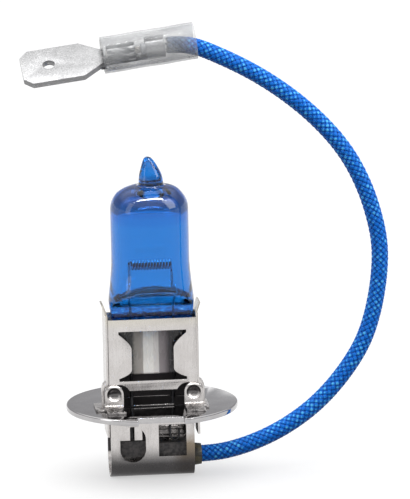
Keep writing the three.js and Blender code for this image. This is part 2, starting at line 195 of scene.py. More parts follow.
def addPiece(name, points, faces, material, nodes):
    # points are in mm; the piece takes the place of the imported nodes
    mesh = bpy.data.meshes.new(name)
    mesh.from_pydata([Vector(point) * mm for point in points], [], faces)
    mesh.update()
    mesh.materials.append(material)
    for polygon in mesh.polygons:
        polygon.use_smooth = True
    piece = bpy.data.objects.new(name, mesh)
    bpy.context.scene.collection.objects.link(piece)
    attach(piece, root)
    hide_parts(*nodes)
    return piece


def joinShapes(shapes):
    points, faces = [], []
    for morePoints, moreFaces in shapes:
        start = len(points)
        points += morePoints
        faces += [[corner + start for corner in face] for face in moreFaces]
    return points, faces


def skin(rings, closed=True):
    # faces between rings of equal length, capped at both ends when closed
    count = len(rings[0])
    faces = []
    for i in range(len(rings) - 1):
        for k in range(count):
            after = (k + 1) % count
            faces.append([i * count + k, i * count + after, (i + 1) * count + after, (i + 1) * count + k])
    if closed:
        faces.append(list(range(count))[::-1])
        faces.append([(len(rings) - 1) * count + k for k in range(count)])
    return [point for ring in rings for point in ring], faces


def directions(points):
    # the way a line runs at each of its points
    last = len(points) - 1
    return [(points[min(i + 1, last)] - points[max(i - 1, 0)]).normalized() for i in range(last + 1)]


def sweep(points, radius, sides):
    # a round rod along a line; radius is a number or one number for each point
    rings, normal = [], Vector((0, 1, 0))
    for i, (point, way) in enumerate(zip(points, directions(points))):
        normal = (normal - way * normal.dot(way)).normalized()
        side = way.cross(normal)
        size = radius[i] if isinstance(radius, list) else radius
        turns = [2 * math.pi * k / sides for k in range(sides)]
        rings.append([point + (normal * math.cos(a) + side * math.sin(a)) * size for a in turns])
    return skin(rings)


def smoothLine(route, spacing):
    # an even spacing along a centripetal Catmull-Rom curve through the route's points
    perSpan = 24
    points = [Vector(point) for point in route]
    points = [points[0] * 2 - points[1]] + points + [points[-1] * 2 - points[-2]]
    fine = []
    for p0, p1, p2, p3 in zip(points, points[1:], points[2:], points[3:]):
        gaps = [max((b - a).length ** 0.5, 1e-6) for a, b in ((p0, p1), (p1, p2), (p2, p3))]
        before = (p1 - p0) / gaps[0] - (p2 - p0) / (gaps[0] + gaps[1]) + (p2 - p1) / gaps[1]
        after = (p2 - p1) / gaps[1] - (p3 - p1) / (gaps[1] + gaps[2]) + (p3 - p2) / gaps[2]
        before, after = before * gaps[1], after * gaps[1]
        for i in range(perSpan):
            t = i / perSpan
            a = 2 * t ** 3 - 3 * t ** 2 + 1
            b = t ** 3 - 2 * t ** 2 + t
            c = -2 * t ** 3 + 3 * t ** 2
            d = t ** 3 - t ** 2
            fine.append(p1 * a + before * b + p2 * c + after * d)
    fine.append(points[-2])
    return evenLine(fine, spacing)


def evenLine(fine, spacing):
    lengths = [0.0]
    for a, b in zip(fine, fine[1:]):
        lengths.append(lengths[-1] + (b - a).length)
    count = max(2, round(lengths[-1] / spacing))
    even, i = [], 0
    for step in range(count + 1):
        want = lengths[-1] * step / count
        while i < len(lengths) - 2 and lengths[i + 1] < want:
            i += 1
        share = (want - lengths[i]) / max(lengths[i + 1] - lengths[i], 1e-9)
        even.append(fine[i].lerp(fine[i + 1], min(share, 1)))
    return even


def turned(profile, sides):
    # a body round Z from [radius, height] pairs, open at both ends
    rings = []
    for radius, height in profile:
        turns = [2 * math.pi * k / sides for k in range(sides)]
        rings.append([Vector((radius * math.cos(a), radius * math.sin(a), height)) for a in turns])
    return skin(rings, closed=False)


# the braided lead
leadSettings = {
    "radius": 1.1,
    "strands": 8,            # running each way round
    "lay": 6.3,              # mm along the lead for one turn of a strand
    "strandWidth": 0.31,
    "strandHeight": 0.09,
    "wave": 0.075,
    "sectionCorners": 6,
    "shadeRun": 6,           # a strand keeps its shade for this many steps
    "step": 0.146,
    # the braid's painted shade colour, its blue, and its painted highlight colour
    "deepBlue": (0.0, 0.018, 0.17),
    "blue": (0.0, 0.14, 0.6),
    "highlightBlue": (0.13, 0.62, 0.95),
    "innerEnd": (0.17, 0.2, 0.25),
}

leadRoute = [
    (3.6, 0, -7.1),
    (6.2, 0, -7.1),
    (9.5, 0, -6.8),
    (13.4, 0, -5.7),
    (17.4, 0, -3.8),
    (21.4, 0, -0.9),
    (25.1, 0, 3.2),
    (27.6, 0, 7.4),
    (29.2, 0, 13),
    (29.7, 0, 19.1),
    (28.7, 0, 24.5),
    (26.9, 0, 29.2),
    (24.8, 0, 32.7),
    (21.8, 0, 36.2),
    (18.1, 0, 39.5),
    (14.1, 0, 42.3),
    (10.1, 0, 44.5),
    (6.7, 0, 46),
    (4.8, 0, 46.38),
    (2.95, 0, 46.42),
]


def braidFinish(look):
    finish = Finish("blueBraid")
    height = finish.node("ShaderNodeAttribute", {"attribute_name": "lift"}, output="Fac")
    shade = finish.node("ShaderNodeAttribute", {"attribute_name": "shade"}, output="Fac")
    across = finish.node("ShaderNodeAttribute", {"attribute_name": "across"}, output="Fac")
    rim = finish.size(across)
    patches = finish.noise(0.9, detail=4)
    # painted shade and highlight: each strand is dark where it dives under the next and at its edges, and
    # pale on its crown
    crownShading = height - rim * 0.35
    colour = finish.mix(finish.step(crownShading + patches * 0.3, 0.15, 0.95), look["deepBlue"], look["blue"])
    # painted highlight: pale flecks on the highest crowns
    crownHighlight = finish.step(crownShading + shade * 0.35, 0.95, 1.22)
    colour = finish.mix(crownHighlight * 0.7, colour, look["highlightBlue"])
    # the end inside the sleeve is frayed and greyed
    hidden = finish.step(finish.along("X") + patches * 1.5, 7.6, 5.2) * finish.step(finish.along("Z"), 42, 43)
    colour = finish.mix(hidden * 0.85, colour, look["innerEnd"])
    # fine yarns side by side in each strand
    yarns = finish.node("ShaderNodeMath", {"operation": "SINE"}, {0: across * 19})
    fuzz = finish.noise(0.07, detail=2)
    return finish.done({
        "Base Color": colour,
        "Roughness": finish.step(patches, 0.2, 0.8, 0.36, 0.52),
        "Normal": finish.bump(yarns * 0.5 + fuzz, 0.5, 0.03),
        "Specular IOR Level": 0.15,
        "Sheen Weight": 0.02,
        "Coat Weight": 0.06,
        "Coat Roughness": 0.25,
    })


def braid(line, look):
    # two sets of flat strands, crossing over and under each other round a core
    spacing = (line[1] - line[0]).length
    ways = directions(line)
    across = Vector((0, 1, 0))
    middle = look["radius"] - look["wave"] - look["strandHeight"]
    chance = Random(4)
    corners = look["sectionCorners"]
    turns = [2 * math.pi * k / corners for k in range(corners)]
    section = [(math.cos(a), math.sin(a)) for a in turns]
    shapes, lifts, shades, sides = [], [], [], []
    for hand in (1, -1):
        for strand in range(look["strands"]):
            centres, outs = [], []
            for i, (point, way) in enumerate(zip(line, ways)):
                travel = i * spacing / look["lay"]
                turn = 2 * math.pi * (strand / look["strands"] + hand * travel)
                out = across * math.cos(turn) + way.cross(across) * math.sin(turn)
                lift = hand * math.cos(2 * math.pi * look["strands"] * travel)
                centres.append(point + out * (middle + look["wave"] * lift))
                outs.append(out)
                if i % look["shadeRun"] == 0:
                    shade = chance.random()
                lifts += [0.5 + 0.5 * lift] * corners
                shades += [shade] * corners
                sides += [wide for wide, high in section]
            rings = []
            for centre, out, way in zip(centres, outs, directions(centres)):
                side = way.cross(out).normalized()
                out = side.cross(way)
                side, out = side * look["strandWidth"], out * look["strandHeight"]
                rings.append([centre + side * wide + out * high for wide, high in section])
            shapes.append(skin(rings))
    core = sweep(line[::4], middle - 0.04, 20)
    shapes.append(core)
    lifts += [0.0] * len(core[0])
    shades += [0.0] * len(core[0])
    sides += [0.0] * len(core[0])
    return *joinShapes(shapes), {"lift": lifts, "shade": shades, "across": sides}


def makeLead(look):
    line = smoothLine(leadRoute, look["step"])
    points, faces, facts = braid(line, look)
    lead = addPiece("braidedLead", points, faces, braidFinish(look), ["braided_lead"])
    for name, values in facts.items():
        lead.data.attributes.new(name, "FLOAT", "POINT").data.foreach_set("value", values)
    length = sum((b - a).length for a, b in zip(line, line[1:])) * mm
    print(f"braided lead made, {length * 1000:.1f} mm")
    return lead, line, length


lead, leadLine, leadLength = makeLead(leadSettings)


def sheetFinish(name, look):
    # plated sheet with rolling marks along one axis, smears and pits, and marks that some pieces have, some
    # of them painted shade
    finish = Finish(name)
    grain = finish.noise(0.11, look["grainStretch"], detail=4)
    clouds = finish.noise(2.6, detail=3)
    pits = finish.step(finish.noise(0.22, detail=1), 0.63, 0.72)
    rolled = grain * 0.4 + clouds * 0.6
    colour = finish.mix(finish.step(rolled, 0.36, 0.66), look["dark"], look["light"])
    colour = finish.mix(pits * look["pitting"], colour, look["pitColour"])
    roughness = finish.step(rolled, 0.3, 0.7, *look["roughness"])
    deep, height = finish.along("Y"), finish.along("Z")
    wide = finish.size(finish.along("X"))
    if "stain" in look:
        stain = look["stain"]
        near = finish.step(finish.along("X") + clouds * 1.5, stain["from"], stain["to"])
        low = finish.step(height + clouds * 2.5, stain["below"] + 1.5, stain["below"])
        colour = finish.mix(near * low * stain["amount"], colour, stain["colour"])
    # a colour change towards a height: a yellower top on the clamp, painted shade towards the base strip's
    # bend
    if "tintAndShade" in look:
        tintAndShade = look["tintAndShade"]
        amount = finish.step(height, tintAndShade["from"], tintAndShade["to"]) * tintAndShade["amount"]
        if "bend" in look:
            # painted shade: only the outer side of the bend is darkened, told by its squared distance from
            # the bend's axis
            bend = look["bend"]
            below = finish.node("ShaderNodeMath", {"operation": "MINIMUM"}, {0: height - bend["z"], 1: 0})
            amount = amount * finish.step(below * below + deep * deep, bend["inner"], bend["outer"])
        colour = finish.mix(amount, colour, tintAndShade["colour"])
    if "scale" in look:
        # scale where the strip passes through the flange
        scale = look["scale"]
        band = finish.step(height, scale["low"], scale["low"] + 0.1)
        band = band * finish.step(height, scale["high"], scale["high"] - 0.05)
        colour = finish.mix(band, colour, scale["colour"])
    if "dimple" in look:
        # painted shade in the upper part of each weld dimple, darkest at its top
        dimple = look["dimple"]
        aside, above = wide - dimple["x"], height - dimple["z"]
        disc = finish.step(aside * aside + above * above, 1.0, 0.7)
        disc = disc * finish.step(deep, dimple["face"] + 0.15, dimple["face"])
        colour = finish.mix(disc * finish.step(above, -0.8, 0.25, 0.45, 0.95), colour, dimple["colour"])
    if "pad" in look:
        # the welded pads in front of the lugs are smeared
        pad = look["pad"]
        smears = finish.step(finish.noise(0.45, (1, 0.5, 1), detail=3), 0.42, 0.6)
        patch = finish.step(deep, pad["face"] + 0.25, pad["face"])
        patch = patch * finish.step(height, pad["top"], pad["top"] - 0.2)
        colour = finish.mix(patch * smears * pad["amount"], colour, pad["colour"])
    if "inside" in look:
        # painted shade: the inner faces of the box are darkened and dulled, fading out towards the top
        inside = look["inside"]
        hidden = finish.step(finish.size(deep), inside["depth"] + 0.05, inside["depth"])
        hidden = hidden * finish.step(wide, inside["width"] + 0.06, inside["width"])
        hidden = hidden * finish.step(height, inside["low"], inside["low"] + 0.3)
        hidden = hidden * finish.step(height, inside["high"], inside["high"] - 1.2)
        colour = finish.mix(hidden, colour, inside["colour"])
        roughness = roughness + hidden * inside["dullness"]
    return finish.done({
        "Base Color": colour,
        "Metallic": 1.0,
        "Roughness": roughness,
        "Normal": finish.bump(grain - pits * 0.5, look["relief"], 0.012),
    })


nickelLook = {
    "light": (0.66, 0.635, 0.62),
    "dark": (0.55, 0.525, 0.51),
    "grainStretch": (1, 1, 0.12),
    "pitting": 0.2,
    "pitColour": (0.3, 0.29, 0.28),
    "roughness": (0.2, 0.32),
    "relief": 0.12,
}

nickel = sheetFinish("nickelSheet", nickelLook)
# painted shade: a darker copy of the nickel for the splice clip inside the box, with heavy pitting
shadedFoldedNickel = sheetFinish("shadedFoldedNickel", {
    **nickelLook,
    "light": (0.34, 0.32, 0.31),
    "dark": (0.06, 0.056, 0.055),
    "grainStretch": (1, 1, 0.7),
    "pitting": 0.8,
    "pitColour": (0.03, 0.028, 0.028),
    "relief": 0.5,
})
# painted shade on the inner faces of the boxes
insideShadeLook = {
    "depth": 2.33,
    "colour": (0.075, 0.07, 0.072),
    "dullness": 0.35,
}

clampNickel = sheetFinish("clampNickel", {
    **nickelLook,
    # painted shade on the inner faces of the box
    "inside": {**insideShadeLook, "width": 5.66, "low": -1.0, "high": 9.4},
    # painted shade in the upper part of the weld dimples
    "dimple": {"x": 5.1, "z": 1.8, "face": -2.6, "colour": (0.035, 0.033, 0.035)},
    "pad": {"face": -3.5, "top": 0.8, "amount": 0.7, "colour": (0.12, 0.115, 0.115)},
    "tintAndShade": {"from": 9.8, "to": 11.4, "amount": 0.4, "colour": (0.66, 0.62, 0.5)},
})
baseNickel = sheetFinish("baseNickel", {
    **nickelLook,
    "bend": {"z": -7.0, "inner": 5.5, "outer": 6.2},
    "scale": {"low": -0.27, "high": 0.15, "colour": (0.04, 0.038, 0.04)},
    # painted shade on the inner faces of the box
    "inside": {**insideShadeLook, "width": 7.0, "low": -7.0, "high": 2.0},
    # painted shade: the strip darkens towards its bottom bend
    "tintAndShade": {"from": -4.8, "to": -7.8, "amount": 0.93, "colour": (0.045, 0.043, 0.045)},
    "stain": {"from": 2.6, "to": 4.6, "below": -4.0, "amount": 0.8, "colour": (0.16, 0.11, 0.05)},
})
flangeSteel = sheetFinish("flangeSteel", {
    "light": (0.5, 0.49, 0.49),
    "dark": (0.42, 0.41, 0.415),
    "grainStretch": (0.4, 1, 1),
    "pitting": 0.12,
    "pitColour": (0.3, 0.3, 0.3),
    "roughness": (0.06, 0.12),
    "relief": 0.03,
})


def wireFinish(name, light, dark, roughness):
    finish = Finish(name)
    drawn = finish.noise(0.08, (1, 1, 0.2), detail=3)
    patches = finish.noise(0.7, detail=3)
    colour = finish.mix(finish.step(drawn * 0.5 + patches * 0.5, 0.3, 0.7), dark, light)
    return finish.done({
        "Base Color": colour,
        "Metallic": 0.9,
        "Roughness": finish.step(patches, 0.3, 0.7, roughness - 0.08, roughness + 0.08),
        "Normal": finish.bump(drawn, 0.3, 0.01),
    })


tungsten = wireFinish("tungstenWire", (0.62, 0.64, 0.68), (0.25, 0.26, 0.29), 0.32)
molybdenum = wireFinish("molybdenumWire", (0.06, 0.06, 0.063), (0.015, 0.015, 0.017), 0.45)
tinnedCopper = wireFinish("tinnedStrands", (0.75, 0.73, 0.7), (0.42, 0.38, 0.34), 0.35)


print("metal finishes made")


# the blue quartz bulb and its seal
glassSettings = {
    "x": 0.18,              # the glass stands this far off the flange's centre
    "radius": 5.0,
    "wall": 1.0,
    "shoulder": 25.3,
    "dome": 28.25,
    "tip": 32.05,
    "tipShift": 0.3,
    "tipLean": 0.42,
    "pinchTop": 12.9,
    "pinchSlope": 1.5,
    "pinchHalfWidth": 5.2,
    "pinchHalfDepth": 1.5,
    "coatStart": 10.9,
    "pressedDarkReflection": (0.002, 0.012, 0.09),
    "pressedGlint": (0.35, 0.55, 0.95),
    "blue": (0.004, 0.175, 0.60),
    "deepBlue": (0.001, 0.11, 0.52),
    "violet": (0.034, 0.085, 0.35),
    "tipBase": (0.002, 0.03, 0.14),
    "edgeViolet": (0.035, 0.05, 0.22),
    "bands": {              # heights between which the colour changes
        "shoulder": (25.4, 27.6),
        "tip": (28.3, 28.9),
        "deepFrom": (23.4, 24.4),
        "deepTo": (25.2, 26.2),
        "footFrom": (28.0, 28.4),
        "footTo": (30.0, 29.4),
        "pinched": (14.6, 13.2),
        "rippled": (14.3, 13.1),
        "marked": (13.5, 12.5),
    },
    "cavityFloor": 13.1,
    "floorArch": 0.5,
    "floorBand": (14.6, 13.4),
}


def glassFinish(look):
    # quartz with a blue coat on its outer side, thinner and greyer over the dome
    finish = Finish("blueQuartz")
    bands = look["bands"]
    height = finish.along("Z")
    clouds = finish.noise(3.5, detail=3)
    shoulder = finish.step(height + clouds, *bands["shoulder"])
    tip = finish.step(height, *bands["tip"])
    deeper = finish.step(height, *bands["deepFrom"]) * (1 - finish.step(height, *bands["deepTo"]))
    colour = finish.mix(deeper * 0.7, look["blue"], look["deepBlue"])
    colour = finish.mix(shoulder * (1 - tip) * 0.8, colour, look["violet"])
    foot = finish.step(height, *bands["footFrom"]) * finish.step(height + clouds, *bands["footTo"])
    colour = finish.mix(foot * 0.75, colour, look["tipBase"])
    pinched = finish.step(height + clouds * 1.5, *bands["pinched"])
    colour = finish.mix(pinched * 0.5, colour, look["deepBlue"])
    edge = finish.node("ShaderNodeLayerWeight", {}, {"Blend": 0.5}, output="Facing")
    colour = finish.mix(finish.step(edge, 0.6, 0.95) * 0.9, colour, look["edgeViolet"])
    # the pressed part is rippled, with painted dark reflections and painted glints
    marks = finish.noise(0.4, (0.6, 1, 1.6), detail=3)
    marked = finish.step(height, *bands["marked"]) * 0.8
    colour = finish.mix(finish.step(marks, 0.5, 0.62) * marked, colour, look["pressedDarkReflection"])
    colour = finish.mix(finish.step(marks, 0.4, 0.33) * marked, colour, look["pressedGlint"])
    relief = marks * finish.step(height, *bands["rippled"]) * 0.8
    relief = finish.noise(2.2, detail=2) * 0.2 + relief + tip * finish.noise(0.9)
    return finish.done({
        "Base Color": colour,
        "Roughness": finish.step(clouds, 0.3, 0.7, 0.0, 0.03),
        "Normal": finish.bump(relief, 0.7, 0.08),
        "Transmission Weight": 1.0,
        "IOR": 1.46,
    })


def innerGlassFinish(look):
    # the clear inner side of the bulb, rougher on the pressed floor
    finish = Finish("clearQuartz")
    haze = finish.noise(2.8, detail=3)
    floor = finish.step(finish.along("Z"), *look["floorBand"]) * finish.noise(0.3, detail=3)
    return finish.done({
        "Base Color": finish.mix(haze, (0.93, 0.95, 0.97), (0.99, 0.99, 1.0)),
        "Roughness": finish.step(haze, 0.3, 0.7, 0.0, 0.03) + floor * 0.25,
        "Normal": finish.bump(haze * 0.2 + floor, 0.5, 0.1),
        "Specular IOR Level": 0.3,
        "Transmission Weight": 1.0,
        "IOR": 1.46,
    })


sealSettings = {
    # painted light across the pressed quartz: a pale reflection in the middle, grey shade bands beside it and
    # dark shade at both edges
    "stops": [              # the pressed quartz from its left edge to its right edge
        (0.0, (0.02, 0.02, 0.02)),
        (0.26, (0.05, 0.05, 0.05)),
        (0.29, (0.36, 0.34, 0.31)),
        (0.394, (0.42, 0.39, 0.36)),
        (0.402, (0.95, 0.93, 0.88)),
        (0.52, (0.95, 0.93, 0.88)),
        (0.527, (0.8, 0.77, 0.74)),
        (0.585, (0.8, 0.77, 0.74)),
        (0.592, (0.36, 0.33, 0.335)),
        (0.66, (0.27, 0.24, 0.25)),
        (0.72, (0.05, 0.045, 0.05)),
        (1.0, (0.02, 0.02, 0.02)),
    ],
    "halfWidth": 5.2,
    "sides": (1.8, 3.2),    # the speckled sides start here
    "speckledShade": (0.008, 0.008, 0.008),
    "glint": (0.4, 0.38, 0.36),
    "top": (9.9, 10.6),
    "topBlue": (0.4, 0.5, 0.75),
}


def sealFinish(look):
    # uncoated quartz of the pinch seal, pressed and slightly milky, with painted reflection, shade and glints
    # across it
    finish = Finish("sealQuartz")
    across = finish.along("X")
    wobble = finish.noise(0.5, (1, 1, 0.15), detail=2)
    half = look["halfWidth"]
    sockets = {"Value": across + wobble * 0.12, "From Min": -half, "From Max": half}
    band = finish.node("ShaderNodeMapRange", {}, sockets)
    colour = finish.node("ShaderNodeValToRGB", {"stops": look["stops"]}, {"Fac": band})
    # painted shade speckled over the sides
    speckledShade = finish.step(finish.noise(0.35, detail=4), 0.42, 0.6)
    edge = finish.step(finish.size(across), *look["sides"])
    colour = finish.mix(speckledShade * edge * 0.85, colour, look["speckledShade"])
    # painted glints on the sides
    glints = finish.step(finish.noise(0.3, (1, 1, 0.6), detail=2), 0.62, 0.7)
    colour = finish.mix(glints * edge * 0.7, colour, look["glint"])
    colour = finish.mix(finish.step(finish.along("Z"), *look["top"]) * 0.8, colour, look["topBlue"])
    return finish.done({
        "Base Color": colour,
        "Roughness": finish.step(wobble, 0.3, 0.7, 0.15, 0.35),
        "Normal": finish.bump(wobble, 0.3, 0.05),
        "Specular IOR Level": 0.3,
        "Transmission Weight": 0.15,
        "Coat Weight": 0.2,
        "IOR": 1.46,
    })


def pressedRing(radius, halfDepth, x, height, sides):
    # a circle whose front and back are pressed flat
    ring = []
    for k in range(sides):
        a = 2 * math.pi * (k + 0.5) / sides
        y = min(max(radius * math.sin(a), -halfDepth), halfDepth)
        ring.append(Vector((x + radius * math.cos(a), y, height)))
    return ring


def ease(value, low, high):
    t = min(max((value - low) / (high - low), 0), 1)
    return t * t * (3 - 2 * t)


def outsideRings(look, sides):
    # the pinch block, its round shoulders, the bulb, the dome and the sealed-off tip
    profile = [(look["pinchHalfWidth"] - 0.15, 4.0), (look["pinchHalfWidth"], 4.2)]
    profile += [(look["pinchHalfWidth"], 4.2 + i * 0.98) for i in range(1, 8)]
    profile += [(5.27, 11.7), (5.36, 12.3), (5.42, 12.7), (5.45, 13.0), (5.47, 13.4), (5.45, 13.8)]
    profile += [(5.41, 14.2), (5.36, 14.6), (5.31, 15), (5.26, 15.4), (5.21, 15.8), (5.15, 16.5)]
    profile += [(5.06, 17.4), (look["radius"], 18.4)]
    profile += [(look["radius"], 19 + i * 0.8) for i in range(8)]
    corner = look["dome"] - look["shoulder"]
    for i in range(13):
        a = math.radians(90 * i / 12)
        radius = look["radius"] - corner + corner * math.cos(a)
        profile.append((radius, look["shoulder"] + corner * math.sin(a)))
    dome = look["dome"]
    tip = [(1.72, 0.04), (1.62, 0.2), (1.58, 0.45), (1.56, 0.75), (1.52, 1.05), (1.46, 1.4), (1.34, 1.8)]
    tip += [(1.18, 2.2), (1.02, 2.6), (0.84, 3.0), (0.66, 3.35), (0.46, 3.62), (0.2, 3.78)]
    profile += [(radius, dome + height) for radius, height in tip]
    rings = []
    for radius, height in profile:
        depth = look["pinchHalfDepth"] + max(0, height - look["pinchTop"]) * look["pinchSlope"]
        lean = max(0, (height - dome) / (look["tip"] - dome))
        x = look["x"] + look["tipShift"] * ease(height, dome - 1, dome + 0.2) - look["tipLean"] * lean ** 2
        rings.append(pressedRing(radius, depth, x, height, sides))
    return rings


def insideRings(look, sides):
    inner = look["radius"] - look["wall"]
    floor = look["cavityFloor"]
    profile = [(0.6, 0), (2.4, 0.03), (3.4, 0.12), (3.9, 0.4), (4.08, 0.8), (4.15, 1.2), (4.15, 1.6)]
    profile += [(4.14, 2.0), (4.12, 2.4), (4.1, 2.8), (4.06, 3.4), (inner, 4.6)]
    profile = [(radius, floor + height) for radius, height in profile]
    profile += [(inner, 19), (inner, 21), (inner, 23), (inner, 24.5)]
    for i in range(1, 9):
        a = math.radians(88 * i / 8)
        profile.append((inner - 2.3 + 2.3 * math.cos(a), 24.55 + 2.3 * math.sin(a)))
    profile += [(0.9, 26.95), (0.3, 27.15)]
    rings = []
    for radius, height in profile:
        depth = 0.12 + (height - floor) * look["pinchSlope"]
        ring = pressedRing(radius, depth, look["x"], height, sides)
        # the jaws push the middle of the floor up into an arch
        for point in ring:
            arch = 1 - ((point.x - look["x"]) / 4.2) ** 2
            point.z += look["floorArch"] * arch * (1 - ease(height, floor, floor + 5))
        rings.append(ring)
    return rings


def makeGlass(look):
    sides = 128
    outside = skin(outsideRings(look, sides))
    points, faces = skin(insideRings(look, sides))
    inside = points, [face[::-1] for face in faces]
    points, faces = joinShapes([outside, inside])
    glass = addPiece("glassEnvelope", points, faces, glassFinish(look), ["glass_envelope"])
    glass.data.materials.append(sealFinish(sealSettings))
    glass.data.materials.append(innerGlassFinish(look))
    for polygon in glass.data.polygons:
        if polygon.index >= len(outside[1]):
            polygon.material_index = 2
        elif polygon.center.z < look["coatStart"] * mm:
            polygon.material_index = 1


makeGlass(glassSettings)
print("glass made")


# the filament, its legs, the foils and the leads below the seal
filamentSettings = {
    "x": 0.18,
    "centre": 18.0,
    "length": 5.0,
    "radius": 0.58,
    "turns": 13,
    "wire": 0.12,
    "legX": 2.75,
    "legRadius": 0.17,
    # painted light: a highlight on the coil's crown, shade in its middle
    "stops": [              # the coil's colour from its lowest to its highest point
        (0.0, (0.2, 0.2, 0.27)),
        (0.3, (0.55, 0.55, 0.65)),
        (0.45, (0.02, 0.02, 0.03)),
        (0.78, (0.015, 0.015, 0.02)),
        (0.88, (1.0, 1.0, 1.0)),
    ],
}


def coilFinish(look):
    # painted highlight on the coil's crown and painted shade in its middle
    finish = Finish("tungstenCoil")
    middle, reach = look["centre"], look["radius"] + look["wire"]
    wear = finish.noise(0.3, detail=3)
    height = finish.along("Z") + wear * 0.05
    sockets = {"Value": height, "From Min": middle - reach, "From Max": middle + reach}
    band = finish.node("ShaderNodeMapRange", {}, sockets)
    return finish.done({
        "Base Color": finish.node("ShaderNodeValToRGB", {"stops": look["stops"]}, {"Fac": band}),
        "Metallic": 0.8,
        "Roughness": finish.step(wear, 0.3, 0.7, 0.25, 0.4),
        "Normal": finish.bump(wear, 0.2, 0.01),
    })


def makeFilament(look):
    half, radius, centre = look["length"] / 2, look["radius"], look["centre"]
    count = look["turns"] * 20
    coil = []
    for i in range(count + 1):
        a = 2 * math.pi * look["turns"] * i / count
        along = look["x"] + (i / count - 0.5) * look["length"]
        coil.append(Vector((along, radius * math.sin(a), centre + radius * math.cos(a))))
    top = centre + radius
    left, right = look["x"] - look["legX"], look["x"] + look["legX"]
    leftTail = [(left, 0, top - 0.9), (left, 0, top - 0.25), (look["x"] - half - 0.12, 0, top)]
    rightTail = [(look["x"] + half + 0.05, 0, top), (right - 0.1, 0.02, top - 0.7), (right, 0, top - 1.9)]
    wire = [Vector(point) for point in leftTail] + coil + [Vector(point) for point in rightTail]
    points, faces = sweep(wire, look["wire"], 8)
    addPiece("filamentCoil", points, faces, coilFinish(look), ["filament_coil"])
    for name, sign in (("Left", -1), ("Right", 1)):
        x = look["x"] + sign * look["legX"]
        reach = centre + 0.1 if sign < 0 else centre - 1.0
        route = [(x, 0, 11), (x, 0, 12.5), (x, 0, 14.5), (x, 0.05, reach - 0.6), (x, 0.02, reach)]
        points, faces = sweep(smoothLine(route, 0.3), look["legRadius"], 12)
        nodes = [f"filament_leg_{name.lower()}"]
        addPiece(f"filamentLeg{name}", points, faces, tungsten, nodes)


foilSettings = {
    "bottom": 5.9,
    "height": 5.0,
    "halfWidth": 0.85,
    "halfThickness": 0.035,
    "crinkle": 0.03,
    "steps": 25,
    "sides": 16,
}


def makeFoils(look, legs):
    # thin foils with edges that taper off and a slight crinkle
    turns = [2 * math.pi * k / look["sides"] for k in range(look["sides"])]
    wide, thin = look["halfWidth"], look["halfThickness"]
    section = [Vector((wide * math.cos(a), thin * math.sin(a), 0)) for a in turns]
    for name, sign in (("Left", -1), ("Right", 1)):
        rings = []
        for i in range(look["steps"] + 1):
            z = look["bottom"] + look["height"] * i / look["steps"]
            middle = Vector((legs["x"] + sign * legs["legX"], look["crinkle"] * math.sin(i * 1.3), z))
            rings.append([middle + corner for corner in section])
        points, faces = skin(rings)
        nodes = [f"seal_foil_{name.lower()}"]
        addPiece(f"sealFoil{name}", points, faces, molybdenum, nodes)


groundRoute = [
    (-2.57, 0, 5.8),
    (-2.57, 0, 3.4),
    (-2.6, -0.3, 1.6),
    (-2.75, -1.1, -0.6),
    (-2.8, -1.45, -2.4),
    (-2.8, -1.45, -4.5),
]
liveRoute = [
    (2.93, 0, 5.8),
    (2.93, 0, 3.4),
    (2.8, -0.1, 1.6),
    (2.5, -0.9, -0.6),
    (2.2, -1.8, -2.2),
    (2.05, -2, -3.3),
    (2.25, -2, -4.4),
    (2.75, -2, -4.65),
    (3.2, -2, -4.2),
    (3.2, -2, -3.2),
]


outerLeadSettings = {
    "radius": 0.25,
    "groundEnd": 0.25,
    "liveEnd": 0.13,        # the live lead is drawn thinner before its loop
}


def makeOuterLeads(look):
    for name, node, route, end in (
        ("groundLead", "outer_lead_ground", groundRoute, look["groundEnd"]),
        ("liveLead", "outer_lead_live", liveRoute, look["liveEnd"]),
    ):
        line = smoothLine(route, 0.2)
        shares = [ease(i / len(line), 0.4, 0.7) for i in range(len(line))]
        radii = [look["radius"] + (end - look["radius"]) * share for share in shares]
        points, faces = sweep(line, radii, 16)
        addPiece(name, points, faces, molybdenum, [node])


makeFilament(filamentSettings)
makeFoils(foilSettings, filamentSettings)
makeOuterLeads(outerLeadSettings)
print("filament and leads made")


def dress(node, material, edge, segments=2):
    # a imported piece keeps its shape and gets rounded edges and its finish; edge is in mm
    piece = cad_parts[node]
    piece.data.materials.clear()
    piece.data.materials.append(material)
    weld = piece.modifiers.new("weld", "WELD")
    weld.merge_threshold = 1e-6
    flat = piece.modifiers.new("flat", "DECIMATE")
    flat.decimate_type = "DISSOLVE"
    flat.angle_limit = math.radians(1)
    bevel = piece.modifiers.new("edges", "BEVEL")
    bevel.width = edge * mm
    bevel.segments = segments
    bevel.limit_method = "ANGLE"
    bevel.angle_limit = math.radians(30)
    bevel.harden_normals = True
    for polygon in piece.data.polygons:
        polygon.use_smooth = True
    return piece


dress("clamp_front_plate", clampNickel, 0.07, 3)
dress("clamp_channel", clampNickel, 0.05)
dress("reference_flange", flangeSteel, 0.1, 3)
dress("base_strip", baseNickel, 0.06)
dress("ground_tab", nickel, 0.04)
dress("splice_clip", shadedFoldedNickel, 0.04)
print("sheet metal dressed")


def ceramicFinish():
    finish = Finish("darkCeramic")
    lumps = finish.noise(0.5, detail=5)
    sand = finish.noise(0.08, detail=3)
    colour = finish.mix(finish.step(lumps, 0.3, 0.7), (0.012, 0.012, 0.013), (0.16, 0.15, 0.145))
    return finish.done({
        "Base Color": colour,
        "Roughness": finish.step(lumps, 0.3, 0.7, 0.45, 0.85),
        "Normal": finish.bump(lumps * 0.6 + sand * 0.4, 0.7, 0.12),
    })


